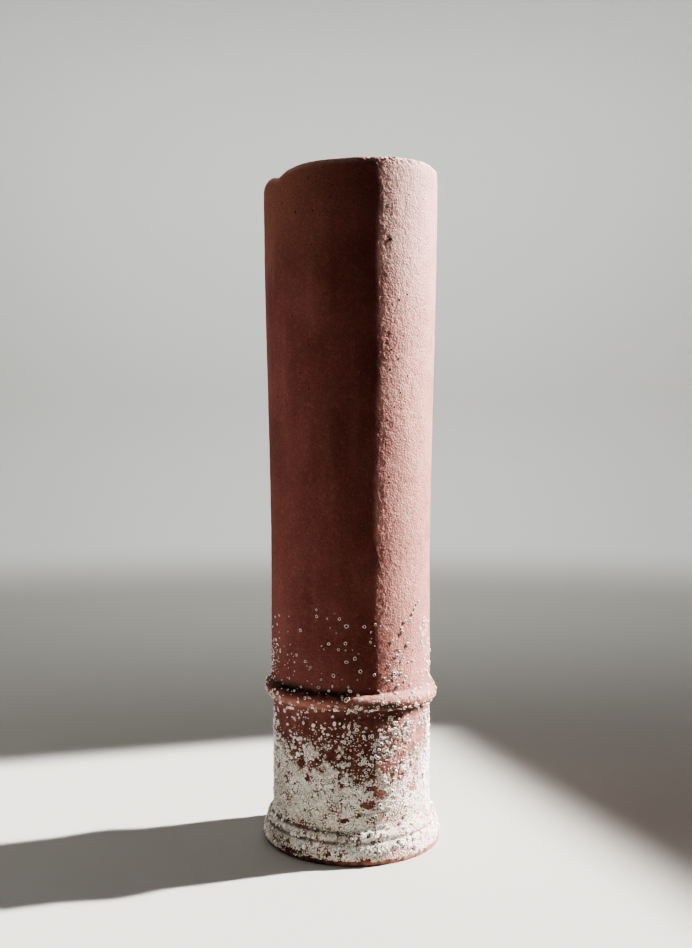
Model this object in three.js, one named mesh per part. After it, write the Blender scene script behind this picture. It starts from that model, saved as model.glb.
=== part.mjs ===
// A weathered terracotta chimney pot, standing upright on its moulded foot. It is one fired clay tube,
// open at both ends: a foot with a bottom roll, a small bead and a hollow cove, a half-round band above
// it, a barrel that widens towards the head, and a slanting rim with worn and broken edges.
// Millimetres, +Z up, the origin on the floor under the middle of the foot. +X is the right-hand side
// and -Y the front. Angles run round the pot from 0 at the front, through 90 at the right.
import * as THREE from 'three';
import { mergeVertices } from 'three/addons/utils/BufferGeometryUtils.js';

// Barrel
const POT_HEIGHT = 1023; // floor to the middle level of the slanting rim
const WALL = 20; // thickness of the fired clay
const LOWER_RADIUS = 121.5; // outside, between the foot and the band
const WAIST_SWELL = 2.4; // how much the barrel grows in radius behind the band
const UPPER_SHIFT = 1.4; // the barrel above the band was set this far to the left
const HEAD_FLARE = 11.1; // how much it grows again from there to the head
const FLARE_LENGTH = 610; // height over which that happens
const HEAD_LENGTH = 13; // straight stretch between the flare and the rim

// Foot, from the floor up
const ROLL_HEIGHT = 32.5;
const ROLL_WIDEST_AT = 10.5; // height at which the roll stands out furthest
const ROLL_PROJECTION = 16; // beyond the lower barrel
const ROLL_TUCK = 5.1; // how far the edge on the floor lies inside the roll's widest point
const TUCK_SWING = 4.4; // the tuck is this much deeper on the left and shallower on the right
const BEAD_HEIGHT = 13.5;
const BEAD_PROJECTION = 3.4; // beyond the slope that it sits on
const COVE_HEIGHT = 11;
const COVE_DEPTH = 4.7; // how far the cove spreads from the lower barrel

// Band
const BAND_HEIGHT = 232; // floor to the middle of the band
const BAND_WIDTH = 36.5; // along the barrel
const BAND_PINCH = 12; // how much narrower it was pressed at the front
const BAND_PROJECTION = 10.5;
const BAND_RISE_LEFT = 3; // the hand-laid band runs uphill to the left
const BAND_RISE_FRONT = 3; // and to the front

// Rim
const RIM_SLANT = 12.5; // the right-hand side stands this much above the middle level
const INNER_EDGE_ROUNDING = 4;
const BASE_CHAMFER = 3; // inner corner of the foot
const RIM_BREAKS = [
  // angle and half-width in degrees, depth in millimetres; a negative depth stands proud
  { angle: -30, halfWidth: 26, depth: -3.5 },
  { angle: -54, halfWidth: 11, depth: 4.5 },
  { angle: -72, halfWidth: 24, depth: -3 },
  { angle: 152, halfWidth: 15, depth: 15 },
  { angle: -128, halfWidth: 20, depth: 7 },
];
const EDGE_WEAR = [
  // how far the outer edge is rounded or spalled off, at angles round the rim
  { angle: -180, wear: 5 },
  { angle: -128, wear: 8 },
  { angle: -80, wear: 8.5 },
  { angle: -45, wear: 5 },
  { angle: -10, wear: 3 },
  { angle: 20, wear: 5.5 },
  { angle: 60, wear: 7 },
  { angle: 110, wear: 5 },
  { angle: 152, wear: 9 },
  { angle: 180, wear: 5 },
];

// How finely the round surfaces are cut into facets
const SEGMENTS = 84;
const ROLL_STEPS = 4;
const BEAD_STEPS = 4;
const COVE_STEPS = 3;
const BAND_STEPS = 8;
const FLARE_STEPS = 9;
const EDGE_STEPS = 3;
const BORE_STEPS = 7;

const DEGREE = Math.PI / 180;
const COVE_TOP = ROLL_HEIGHT + BEAD_HEIGHT + COVE_HEIGHT;

// 0 below 0, 1 above 1 and a smooth S between.
function smooth(t) {
  return THREE.MathUtils.smoothstep(t, 0, 1);
}

// 0 under the band, 1 above it and a smooth S behind it.
function aboveBand(z) {
  return smooth((z - BAND_HEIGHT) / BAND_WIDTH + 0.5);
}

// The outside of the plain barrel at a height, without the foot and the band.
function barrelRadius(z) {
  const flareStart = POT_HEIGHT - HEAD_LENGTH - FLARE_LENGTH;
  const flare = HEAD_FLARE * smooth((z - flareStart) / FLARE_LENGTH);
  return LOWER_RADIUS + WAIST_SWELL * aboveBand(z) + flare;
}

// The bore follows the barrel at the thickness of the wall.
function boreRadius(z) {
  return barrelRadius(z) - WALL;
}

// Points on an elliptical arc, in radius and height. Angle 0 points outwards and 90 upwards.
function arc(centreRadius, centreHeight, across, up, from, to, steps) {
  const points = [];
  for (let i = 0; i <= steps; i++) {
    const t = THREE.MathUtils.lerp(from, to, i / steps) * DEGREE;
    points.push(new THREE.Vector2(centreRadius + across * Math.cos(t), centreHeight + up * Math.sin(t)));
  }
  return points;
}

// Bottom roll: a quarter round under its widest point and a taller part of one above it.
function rollProfile(angle) {
  const groove = 75; // the upper part stops this far round, where the bead starts
  const upperHeight = (ROLL_HEIGHT - ROLL_WIDEST_AT) / Math.sin(groove * DEGREE);
  const widest = LOWER_RADIUS + ROLL_PROJECTION;
  const tuck = ROLL_TUCK - TUCK_SWING * Math.sin(angle * DEGREE);
  const upperDepth = (ROLL_PROJECTION - COVE_DEPTH - BEAD_PROJECTION) / (1 - Math.cos(groove * DEGREE));
  return [
    ...arc(widest - tuck, ROLL_WIDEST_AT, tuck, ROLL_WIDEST_AT, -90, 0, ROLL_STEPS).slice(0, -1),
    ...arc(widest - upperDepth, ROLL_WIDEST_AT, upperDepth, upperHeight, 0, groove, ROLL_STEPS),
  ];
}

// Bead: half an ellipse standing on the slope from the roll's groove in to the top of the cove.
function beadProfile() {
  const low = LOWER_RADIUS + COVE_DEPTH + BEAD_PROJECTION;
  const high = LOWER_RADIUS + COVE_DEPTH;
  const points = [];
  for (let i = 1; i <= BEAD_STEPS; i++) {
    const t = i / BEAD_STEPS;
    const bulge = BEAD_PROJECTION * Math.sin(t * Math.PI);
    points.push(new THREE.Vector2(THREE.MathUtils.lerp(low, high, t) + bulge, ROLL_HEIGHT + t * BEAD_HEIGHT));
  }
  return points;
}

// Cove: a hollow quarter round that runs up into the barrel.
function coveProfile() {
  const middle = LOWER_RADIUS + COVE_DEPTH;
  return arc(middle, COVE_TOP, COVE_DEPTH, COVE_HEIGHT, -90, -180, COVE_STEPS).slice(1);
}

// Band: a flat-backed round on the barrel. It is pinched and higher at the front, and higher on the left.
function bandProfile(angle) {
  const front = ((1 + Math.cos(angle * DEGREE)) / 2) ** 2; // 1 at the front and 0 at the back
  const half = 0.5 * (BAND_WIDTH - BAND_PINCH * front);
  const round = (half ** 2 + BAND_PROJECTION ** 2) / (2 * BAND_PROJECTION); // radius of the round
  const middle = BAND_HEIGHT + BAND_RISE_FRONT * front - BAND_RISE_LEFT * Math.sin(angle * DEGREE);
  const points = [];
  for (let i = 0; i <= BAND_STEPS; i++) {
    const up = -half * Math.cos((i / BAND_STEPS) * Math.PI);
    const bulge = Math.sqrt(round ** 2 - up ** 2) - (round - BAND_PROJECTION);
    const z = middle + up;
    points.push(new THREE.Vector2(barrelRadius(z) + Math.max(0, bulge), z));
  }
  return points;
}

// The height of the rim at an angle: its slant, less what is broken off.
function rimHeight(angle) {
  let height = POT_HEIGHT + RIM_SLANT * Math.sin(angle * DEGREE);
  for (const { angle: middle, halfWidth, depth } of RIM_BREAKS) {
    const away = Math.abs(THREE.MathUtils.euclideanModulo(angle - middle + 180, 360) - 180);
    height -= depth * (1 - smooth(away / halfWidth));
  }
  return height;
}

// How far the rim's outer edge is worn away at an angle, blended between the listed places.
function edgeWear(angle) {
  const next = Math.max(1, EDGE_WEAR.findIndex((place) => place.angle >= angle));
  const [a, b] = [EDGE_WEAR[next - 1], EDGE_WEAR[next]];
  return THREE.MathUtils.lerp(a.wear, b.wear, smooth((angle - a.angle) / (b.angle - a.angle)));
}

// Rim: the worn outer edge, the flat of the break and the rounded inner edge.
function rimProfile(angle) {
  const top = rimHeight(angle);
  const outerWear = Math.min(edgeWear(angle), 0.5 * WALL);
  const innerWear = Math.min(INNER_EDGE_ROUNDING, 0.3 * WALL);
  const outside = barrelRadius(top - outerWear);
  const inside = boreRadius(top - innerWear);
  return [
    ...arc(outside - outerWear, top - outerWear, outerWear, outerWear, 0, 90, EDGE_STEPS),
    ...arc(inside + innerWear, top - innerWear, innerWear, innerWear, 90, 180, EDGE_STEPS),
  ];
}

// Points on a wall between two heights, both left out. The radius comes from the given function.
function wall(radiusAt, from, to, steps) {
  const points = [];
  for (let i = 1; i < steps; i++) {
    const z = THREE.MathUtils.lerp(from, to, i / steps);
    points.push(new THREE.Vector2(radiusAt(z), z));
  }
  return points;
}

// The closed section through the wall at an angle: up the outside, over the rim and down the bore.
function section(angle) {
  const foot = [...rollProfile(angle), ...beadProfile(), ...coveProfile()];
  const band = bandProfile(angle);
  const rim = rimProfile(angle);
  const chamfer = Math.min(BASE_CHAMFER, 0.3 * WALL);
  const base = [
    new THREE.Vector2(boreRadius(chamfer), chamfer),
    new THREE.Vector2(boreRadius(0) + chamfer, 0),
  ];
  return [
    ...foot,
    ...wall(barrelRadius, COVE_TOP, band[0].y, 2),
    ...band,
    ...wall(barrelRadius, band.at(-1).y, rim[0].y, FLARE_STEPS),
    ...rim,
    ...wall(boreRadius, rim.at(-1).y, chamfer, BORE_STEPS),
    ...base,
    foot[0].clone(),
  ];
}

// A lathe of the front section, with each meridian then set to the section at its own angle.
function potGeometry() {
  const geometry = new THREE.LatheGeometry(section(0), SEGMENTS);
  const position = geometry.getAttribute('position');
  const rows = position.count / (SEGMENTS + 1);
  for (let i = 0; i <= SEGMENTS; i++) {
    const turn = ((i % SEGMENTS) / SEGMENTS) * 360;
    const angle = turn > 180 ? turn - 360 : turn;
    section(angle).forEach(({ x: radius, y: height }, j) => {
      const across = radius * Math.sin(angle * DEGREE) - UPPER_SHIFT * aboveBand(height);
      const ahead = radius * Math.cos(angle * DEGREE);
      position.setXYZ(i * rows + j, across, -ahead, height);
    });
  }
  geometry.deleteAttribute('normal');
  geometry.deleteAttribute('uv');
  const merged = mergeVertices(geometry, 1e-3);
  merged.computeVertexNormals();
  return merged;
}

const terracotta = new THREE.MeshStandardMaterial({ color: 0xa8634f, roughness: 0.9, metalness: 0 });
const pot = new THREE.Mesh(potGeometry(), terracotta);
pot.name = 'pot';

const chimneyPot = new THREE.Group();
chimneyPot.add(pot);

export default chimneyPot;
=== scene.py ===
"""A weathered terracotta chimney pot with a lime crust and small shells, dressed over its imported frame.

The clay is one closed wall worked out from the same section as the solid. The crust is a second skin
that stands on the clay where it is thick and dips under it where the clay is bare. The shells are many
small rings that stand on both. Shapes are worked out in millimetres and put into meshes in metres.
Angles run round the pot from 0 at the front, through 90 at the right, as in the part's source.
"""
import math

import bpy
import numpy as np
from bpy.props import FloatProperty, FloatVectorProperty, IntProperty, PointerProperty
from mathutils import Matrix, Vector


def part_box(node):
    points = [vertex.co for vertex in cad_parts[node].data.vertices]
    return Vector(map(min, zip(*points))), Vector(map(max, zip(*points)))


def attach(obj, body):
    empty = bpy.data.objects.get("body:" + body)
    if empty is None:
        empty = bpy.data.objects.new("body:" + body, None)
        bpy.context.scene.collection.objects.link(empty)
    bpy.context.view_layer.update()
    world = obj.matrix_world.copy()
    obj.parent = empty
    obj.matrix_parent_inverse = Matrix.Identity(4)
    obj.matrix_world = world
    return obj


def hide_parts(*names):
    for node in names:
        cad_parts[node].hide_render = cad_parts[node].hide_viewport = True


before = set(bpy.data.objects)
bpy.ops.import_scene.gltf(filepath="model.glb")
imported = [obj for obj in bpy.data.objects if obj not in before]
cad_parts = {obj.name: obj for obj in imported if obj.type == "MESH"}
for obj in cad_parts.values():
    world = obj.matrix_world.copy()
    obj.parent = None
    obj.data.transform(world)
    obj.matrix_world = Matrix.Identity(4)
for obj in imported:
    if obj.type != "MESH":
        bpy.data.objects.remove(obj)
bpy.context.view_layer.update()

bl_info = {
    "name": "Weathered Chimney Pot",
    "version": (1, 0, 0),
    "blender": (4, 5, 0),
    "location": "3D View > Sidebar > Chimney Pot",
    "description": "Terracotta chimney pot with a lime crust, small shells and a plain studio",
    "category": "Object",
}

MM = 0.001
POT_LOW, POT_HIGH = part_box("pot")

# Barrel, in millimetres, as in the solid
WALL = 20.0
ROLL_PROJECTION = 16.0
LOWER_RADIUS = 0.5 * (POT_HIGH.x - POT_LOW.x) / MM - ROLL_PROJECTION
RIM_SLANT = 12.5
POT_HEIGHT = (POT_HIGH.z - POT_LOW.z) / MM - RIM_SLANT
WAIST_SWELL = 2.4
UPPER_SHIFT = 1.4
HEAD_FLARE = 11.1
FLARE_LENGTH = 610.0
HEAD_LENGTH = 13.0

# Foot
ROLL_HEIGHT = 32.5
ROLL_WIDEST_AT = 10.5
ROLL_TUCK = 5.1
TUCK_SWING = 4.4
ROLL_GROOVE = 75.0
BEAD_HEIGHT = 13.5
BEAD_PROJECTION = 3.4
COVE_HEIGHT = 11.0
COVE_DEPTH = 4.7
COVE_TOP = ROLL_HEIGHT + BEAD_HEIGHT + COVE_HEIGHT
BEAD_JOINT = -9.0  # angle at which the two ends of the bead meet
BEAD_SAG = 4.0  # the end on the right hangs this much lower
BEAD_SAG_FADE = 24.0  # and comes back up over this many degrees
BEAD_SAG_FROM = ROLL_WIDEST_AT + 9.0  # height below which nothing hangs lower

# Band
BAND_HEIGHT = 232.0
BAND_WIDTH = 36.5
BAND_PINCH = 12.0
BAND_PROJECTION = 10.5
BAND_RISE_LEFT = 3.0
BAND_RISE_FRONT = 3.0

# Rim: angle and half-width in degrees, and depth
RIM_BREAKS = (
    (-30, 26, -3.5),
    (-54, 11, 4.5),
    (-72, 24, -3.0),
    (152, 15, 15.0),
    (-128, 20, 7.0),
)
# Angle, and how far the outer edge is worn there
EDGE_WEAR = (
    (-180, 5.0),
    (-128, 8.0),
    (-80, 8.5),
    (-45, 5.0),
    (-10, 3.0),
    (20, 5.5),
    (60, 7.0),
    (110, 5.0),
    (152, 9.0),
    (180, 5.0),
)
INNER_EDGE_ROUNDING = 4.0
RIM_ROUGH = 15.0  # how far down from the rim the rough break reaches
BASE_CHAMFER = 3.0

# Bare places in the crust: angle, height, half-width in degrees and half-height
BARE_PLACES = (
    (-55, 192, 14, 24),
    (-14, 156, 4, 9),
    (9, 168, 6, 10),
    (5, 69, 5, 6),
    (12, 84, 8, 8),
    (14, 108, 5, 4),
    (20, 98, 7, 8),
    (-6, 62, 5, 5),
    (-33, 118, 3, 10),
    (-38, 142, 3, 11),
    (36, 66, 3, 3),
    (50, 100, 5, 12),
    (60, 178, 16, 22),
    (-42, 12, 13, 5),
    (120, 150, 10, 16),
    (165, 110, 8, 9),
    (-125, 165, 12, 16),
    (-155, 95, 7, 8),
)
# Places where the crust is whole: the same four values
WHOLE_PLACES = (
    (-32, 66, 15, 13),
    (-12, 95, 12, 12),
)
# How much of the clay the crust covers at each height
COVER_HEIGHTS = (0, 60, 105, 135, 160, 180, 200, 215, 230)
COVER_SHARES = (1.25, 1.45, 1.22, 0.95, 0.78, 0.62, 0.43, 0.22, 0.05)

# Thick clusters of shells: the same four values as for the bare places
SHELL_CLUSTERS = (
    (30, 272, 9, 20),
    (34, 300, 7, 14),
    (20, 190, 16, 32),
    (64, 330, 8, 34),
    (72, 290, 8, 30),
    (-68, 290, 10, 26),
    (-44, 285, 8, 20),
    (150, 270, 14, 26),
    (-140, 280, 12, 24),
)
# Single shells above the band: angle, height and radius
LONE_SHELLS = (
    (-3, 347, 3.4), (9.1, 346, 2.6), (-7.7, 358, 2.2), (-23.9, 360, 2.2), (2.7, 300, 2.8),
    (-3, 295, 2.6), (6.4, 281, 2.6), (16, 275, 2.2), (-11.8, 275, 2.6), (-36.8, 337, 2.4),
    (-15.2, 321, 2.2), (-8.4, 313, 2.0), (-3.6, 322, 2.4), (29.4, 322, 2.6), (37.8, 334, 2.8),
    (42.5, 315, 3.0), (45.5, 351, 2.0), (47.6, 359, 2.2), (49.9, 366, 2.0), (52.3, 372, 1.8),
    (54.8, 376, 1.8), (57.6, 333, 2.4), (60.7, 323, 2.6), (59.1, 314, 2.2), (62.3, 304, 2.0),
    (56.2, 336, 2.0), (-68.2, 349, 1.8), (-60.6, 353, 1.6), (-66, 315, 2.0), (-59, 299, 2.0),
    (-40.5, 300, 2.2), (-32.6, 292, 2.2), (-28.5, 284, 2.0), (-22.4, 256, 2.4),
)
# Dark grains of iron in the clay: the same three values
LONE_GRAINS = (
    (-12.6, 966, 1.2), (5.5, 999, 1.2), (25.3, 908, 2.7), (-24.4, 949, 1.2), (-37.1, 950, 1.3),
    (-27.2, 997, 1.0), (-48.8, 968, 1.2), (-11.3, 983, 1.0), (38.7, 831, 1.3), (32.3, 822, 1.2),
    (57.5, 822, 1.1), (40.7, 811, 1.0), (-40.7, 800, 1.2), (-25.3, 900, 1.0), (-28.2, 756, 1.1),
    (-44.1, 747, 1.0), (-35.1, 716, 1.3), (-39.6, 656, 1.0), (-27.9, 692, 1.0), (26.9, 749, 1.4),
    (32.2, 736, 1.1), (34.3, 687, 1.3), (29.7, 666, 1.2), (24.6, 647, 1.2), (26.3, 720, 1.2),
    (26.6, 564, 1.4), (26.6, 556, 1.2), (47.4, 726, 1.1), (54.4, 717, 1.0),
)

CRUST_SPLIT = 138.0  # height at which the barrel's crust is cut into two pieces
CRUST_TOP = 266.0  # above the band, where the crust skin ends inside the wall
CRUST_START = 190.0  # mean height of the crust's upper edge
BURIED = 1.6  # how far the crust skin dips under bare clay
SKIN_BACK = 7.0  # how deep the crust skin's closed back lies in the wall
CRUMBS = ((8.8, 1.0, 31), (4.8, 0.8, 36))  # worn shells in the crust: spacing, height and seed

GRAZED_AT = (26.0, 199.0)  # angles at which light from the right grazes the clay, in front and behind
LIT_EDGE = 15.0  # angle at which the painted light of the lit side starts, just past the key light's terminator
ROUGH_RIM_AT = 55.0  # middle of the rim's rough break
BROWN_BACK = 160.0  # middle of the browner clay over the back
SHELLS_ABOVE = 255.0  # height over which the shells stand singly on clean clay
DARK_CRUMBS = 0.45  # share of the crumbs on the band at the front right that are dark
GRAIN_COUNT = 170  # random dark grains, besides the listed ones
UP = np.array([0.0, 0.0, 1.0])


def smooth(t):
    """0 below 0, 1 above 1 and the S curve 3 t^2 - 2 t^3 between."""
    t = np.clip(t, 0.0, 1.0)
    return t * t * (3.0 - 2.0 * t)


def between(value, rise, fall):
    """1 between two places and 0 outside them: the S curve up over the first pair of values, times the S
    curve down over the second pair."""
    return smooth((value - rise[0]) / (rise[1] - rise[0])) * smooth((fall[1] - value) / (fall[1] - fall[0]))


def turn_between(angle, middle):
    """The angle from middle to angle in degrees, between -180 and 180."""
    return (angle - middle + 180.0) % 360.0 - 180.0


def lattice(x, y, z, seed):
    """A number from 0 to 1 for each whole-numbered point, mixed from its coordinates by 32-bit hashing."""
    mixed = (x.astype(np.int64) * 374761393 + y.astype(np.int64) * 668265263
             + z.astype(np.int64) * 2147483647 + seed * 974634777) & 0xFFFFFFFF
    mixed = ((mixed ^ (mixed >> 13)) * 1274126177) & 0xFFFFFFFF
    mixed = ((mixed ^ (mixed >> 16)) * 2246822519) & 0xFFFFFFFF
    return ((mixed ^ (mixed >> 15)) & 0xFFFFFF) / float(0xFFFFFF)


def noise(points, size, seed, octaves=1):
    """Smooth noise from -1 to 1: lattice values of the given size, blended in three directions by the S
    curve. Each further octave is half the size and half the strength."""
    total = np.zeros(points.shape[:-1])
    strength = 1.0
    for octave in range(octaves):
        place = points / size
        cell = np.floor(place)
        blend = smooth(place - cell)
        value = np.zeros_like(total)
        for corner in range(8):
            step = np.array([corner & 1, (corner >> 1) & 1, corner >> 2])
            weight = np.prod(np.where(step == 1, blend, 1.0 - blend), axis=-1)
            at = cell + step
            value += weight * lattice(at[..., 0], at[..., 1], at[..., 2], seed + octave)
        total += strength * (2.0 * value - 1.0)
        strength *= 0.5
        size *= 0.5
    return total


def cells(angle, along, size, seed):
    """For each place on the pot, the distance to the nearest of a set of scattered centres, in shares of
    their spacing, and a random number that belongs to that centre. The centres lie one to a cell on a
    grid that closes round the pot."""
    count = int(round(2.0 * math.pi * LOWER_RADIUS / size))
    u = (angle % 360.0) / 360.0 * count
    v = along / size
    nearest = np.full(np.broadcast(u, v).shape, np.inf)
    mark = np.zeros_like(nearest)
    flat = np.zeros_like(nearest)
    for i in (-1, 0, 1):
        for j in (-1, 0, 1):
            column = np.floor(u) + i
            row = np.floor(v) + j
            key = column % count + flat
            line = row + flat
            across = column + 0.1 + 0.8 * lattice(key, line, flat, seed) - u
            up = row + 0.1 + 0.8 * lattice(key, line, flat, seed + 1) - v
            distance = np.hypot(across, up)
            closer = distance < nearest
            nearest = np.where(closer, distance, nearest)
            mark = np.where(closer, lattice(key, line, flat, seed + 2), mark)
    return nearest, mark


def above_band(z):
    """0 under the band, 1 above it and an S curve behind it."""
    return smooth((z - BAND_HEIGHT) / BAND_WIDTH + 0.5)


def barrel_radius(z):
    """Lower radius, plus the swell behind the band, plus the S curve of the flare up to the head."""
    flare = smooth((z - (POT_HEIGHT - HEAD_LENGTH - FLARE_LENGTH)) / FLARE_LENGTH)
    return LOWER_RADIUS + WAIST_SWELL * above_band(z) + HEAD_FLARE * flare


def arc(radius, height, across, up, start, stop, steps):
    """Points on an elliptical arc from start to stop degrees: 0 points outwards and 90 upwards."""
    t = np.radians(np.linspace(start, stop, steps + 1))[:, None]
    return radius + across * np.cos(t), height + up * np.sin(t)


def roll_section(angle, steps):
    """Quarter round up to the widest point, and a taller part of one from there to the bead's groove."""
    widest = LOWER_RADIUS + ROLL_PROJECTION
    tuck = ROLL_TUCK - TUCK_SWING * np.sin(np.radians(angle))
    low = arc(widest - tuck, ROLL_WIDEST_AT, tuck, ROLL_WIDEST_AT, -90, 0, steps)
    groove = math.radians(ROLL_GROOVE)
    depth = (ROLL_PROJECTION - COVE_DEPTH - BEAD_PROJECTION) / (1 - math.cos(groove))
    rise = (ROLL_HEIGHT - ROLL_WIDEST_AT) / math.sin(groove)
    high = arc(widest - depth, ROLL_WIDEST_AT, depth, rise, 0, ROLL_GROOVE, steps)
    return [(low[0][:-1], low[1][:-1]), high]


def bead_section(steps):
    """A slope in from the roll's groove to the cove's edge, with half a sine wave standing on it."""
    t = (np.arange(1, steps + 1) / steps)[:, None]
    bulge = BEAD_PROJECTION * np.sin(np.pi * t)
    return LOWER_RADIUS + COVE_DEPTH + BEAD_PROJECTION * (1 - t) + bulge, ROLL_HEIGHT + BEAD_HEIGHT * t


def cove_section(steps):
    """A hollow quarter round that runs up into the barrel."""
    r, z = arc(LOWER_RADIUS + COVE_DEPTH, COVE_TOP, COVE_DEPTH, COVE_HEIGHT, -90, -180, steps)
    return r[1:], z[1:]


def band_front(angle):
    """1 at the front and 0 at the back, where the band is wide."""
    return ((1.0 + np.cos(np.radians(angle))) / 2.0) ** 2


def band_middle(angle):
    """Height of the band's middle, which rises at the front and on the left."""
    return BAND_HEIGHT + BAND_RISE_FRONT * band_front(angle) - BAND_RISE_LEFT * np.sin(np.radians(angle))


def band_section(angle, steps):
    """Part of a circle on the barrel, as wide and as proud as the band is at the angle."""
    half = 0.5 * (BAND_WIDTH - BAND_PINCH * band_front(angle))
    around = (half ** 2 + BAND_PROJECTION ** 2) / (2.0 * BAND_PROJECTION)
    up = -half * np.cos(np.pi * np.arange(steps + 1) / steps)[:, None]
    bulge = np.sqrt(around ** 2 - up ** 2) - (around - BAND_PROJECTION)
    z = band_middle(angle) + up
    return barrel_radius(z) + np.maximum(0.0, bulge), z


def rim_height(angle):
    """The slanting rim, less an S-edged bite for each break."""
    height = POT_HEIGHT + RIM_SLANT * np.sin(np.radians(angle))
    for middle, half_width, depth in RIM_BREAKS:
        height = height - depth * (1.0 - smooth(np.abs(turn_between(angle, middle)) / half_width))
    return height


def edge_wear(angle):
    """Wear of the rim's outer edge, blended by the S curve between the listed angles."""
    places = np.array([place for place, wear in EDGE_WEAR], float)
    wears = np.array([wear for place, wear in EDGE_WEAR])
    turned = turn_between(angle, 0.0)
    upper = np.clip(np.searchsorted(places, turned), 1, len(places) - 1)
    low, high = places[upper - 1], places[upper]
    blend = smooth((turned - low) / (high - low))
    return wears[upper - 1] * (1.0 - blend) + wears[upper] * blend


def rim_section(angle, steps):
    """The worn outer edge as a quarter round, the flat of the break and the rounded inner edge."""
    top = rim_height(angle)
    wear = edge_wear(angle)
    outside = barrel_radius(top - wear)
    inside = barrel_radius(top - INNER_EDGE_ROUNDING) - WALL
    outer = arc(outside - wear, top - wear, wear, wear, 0, 90, steps)
    inner = arc(inside + INNER_EDGE_ROUNDING, top - INNER_EDGE_ROUNDING,
                INNER_EDGE_ROUNDING, INNER_EDGE_ROUNDING, 90, 180, steps)
    flat = tuple(0.5 * (outer[k][-1:] + inner[k][:1]) for k in (0, 1))
    return [outer, flat, inner]


def straight(start, stop, steps, inset=0.0):
    """Rows on the barrel between two heights, both left out, inset from the outside."""
    t = (np.arange(1, steps) / steps)[:, None]
    z = start * (1.0 - t) + stop * t
    return barrel_radius(z) - inset, z


def outside_rows(angle, steps):
    """The section's outside from the floor to the top of the band, as a list of radius and height rows."""
    band = band_section(angle, steps["band"])
    return [
        *roll_section(angle, steps["roll"]),
        bead_section(steps["bead"]),
        cove_section(steps["cove"]),
        straight(COVE_TOP, band[1][0], steps["lower"]),
        band,
    ]


def stack(rows, angle):
    """One array of radii and one of heights from a list of rows, with the bead's low end let down."""
    radius, height = (np.concatenate([np.broadcast_to(row[k], (len(row[k]), angle.size)) for row in rows])
                      for k in (0, 1))
    past = turn_between(angle, BEAD_JOINT)
    sag = BEAD_SAG * smooth((past + 2.0) / 4.0) * (1.0 - smooth(past / BEAD_SAG_FADE))
    outer = smooth((radius - LOWER_RADIUS + 3.0) / 2.0)  # none of it on the bore
    from_below = smooth((height - BEAD_SAG_FROM) / (ROLL_HEIGHT - BEAD_SAG_FROM))
    to_above = 1.0 - smooth((height - ROLL_HEIGHT - BEAD_HEIGHT) / COVE_HEIGHT)
    return radius, height - sag * outer * from_below * to_above


def place(radius, height, angle):
    """Points in space from radii, heights and angles, with the upper barrel set a little to the left."""
    a = np.radians(angle)
    x = radius * np.sin(a) - UPPER_SHIFT * above_band(height)
    return np.stack([x, -radius * np.cos(a), height], axis=-1)


def from_axis(angle):
    """Unit vectors that point level and away from the axis."""
    a = np.radians(angle)
    return np.stack([np.sin(a), -np.cos(a), np.zeros_like(a)], axis=-1)


def angle_of(points):
    """The angle round the pot at which each point lies."""
    return np.degrees(np.arctan2(points[:, 0], -points[:, 1]))


def outward(points):
    """Unit normals of a grid whose rows run up and whose columns run round to the left-hand side of the
    travel: the cross product of the two directions' central differences."""
    round_step = np.roll(points, -1, axis=1) - np.roll(points, 1, axis=1)
    up_step = np.gradient(points, axis=0)
    normal = np.cross(round_step, up_step)
    return normal / np.maximum(np.linalg.norm(normal, axis=-1, keepdims=True), 1e-9)


def columns(count):
    """Evenly spaced angles round the pot."""
    return np.arange(count) * (360.0 / count)


def grazed(angle):
    """1 in the two stretches where light from the right grazes the clay, at the front and at the back, and
    0 well away from them."""
    away = np.minimum(*(np.abs(turn_between(angle, middle)) for middle in GRAZED_AT))
    return 1.0 - smooth((away - 18.0) / 10.0)


def uneven_columns(count, closer):
    """Angles round the pot, closer together by the given factor in the grazed stretches: equal steps of the
    running total of the density 1 + (closer - 1) grazed."""
    fine = np.arange(0.0, 360.0, 0.05)
    total = np.concatenate([[0.0], np.cumsum(1.0 + (closer - 1.0) * grazed(fine))])
    return np.interp(np.arange(count) * total[-1] / count, total, np.append(fine, 360.0))


def near(angle, height, places):
    """The largest of a set of soft elliptical spots, given as angle, height, half-width and half-height."""
    spots = np.zeros(np.broadcast(angle, height).shape)
    for middle, level, half_width, half_height in places:
        off = np.hypot(turn_between(angle, middle) / half_width, (height - level) / half_height)
        spots = np.maximum(spots, 1.0 - smooth(off / 1.3))
    return spots


def crust_cover(angle, height, points):
    """Share of the clay that the crust covers at a place: it falls with height, wanders, drops at the
    bare places and along the foot's lower edge, and rises at the whole ones."""
    wander = 15.0 * noise(points, 42.0, seed=11, octaves=2)
    cover = np.interp(height - wander, COVER_HEIGHTS, COVER_SHARES)
    cover = cover - 0.95 * near(angle, height, BARE_PLACES) + 0.6 * near(angle, height, WHOLE_PLACES)
    bare_edge = 1.2 + 2.8 * noise(points, 14.0, seed=12, octaves=3)
    return cover - 1.2 * (1.0 - smooth((height - bare_edge) / 4.0))


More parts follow.
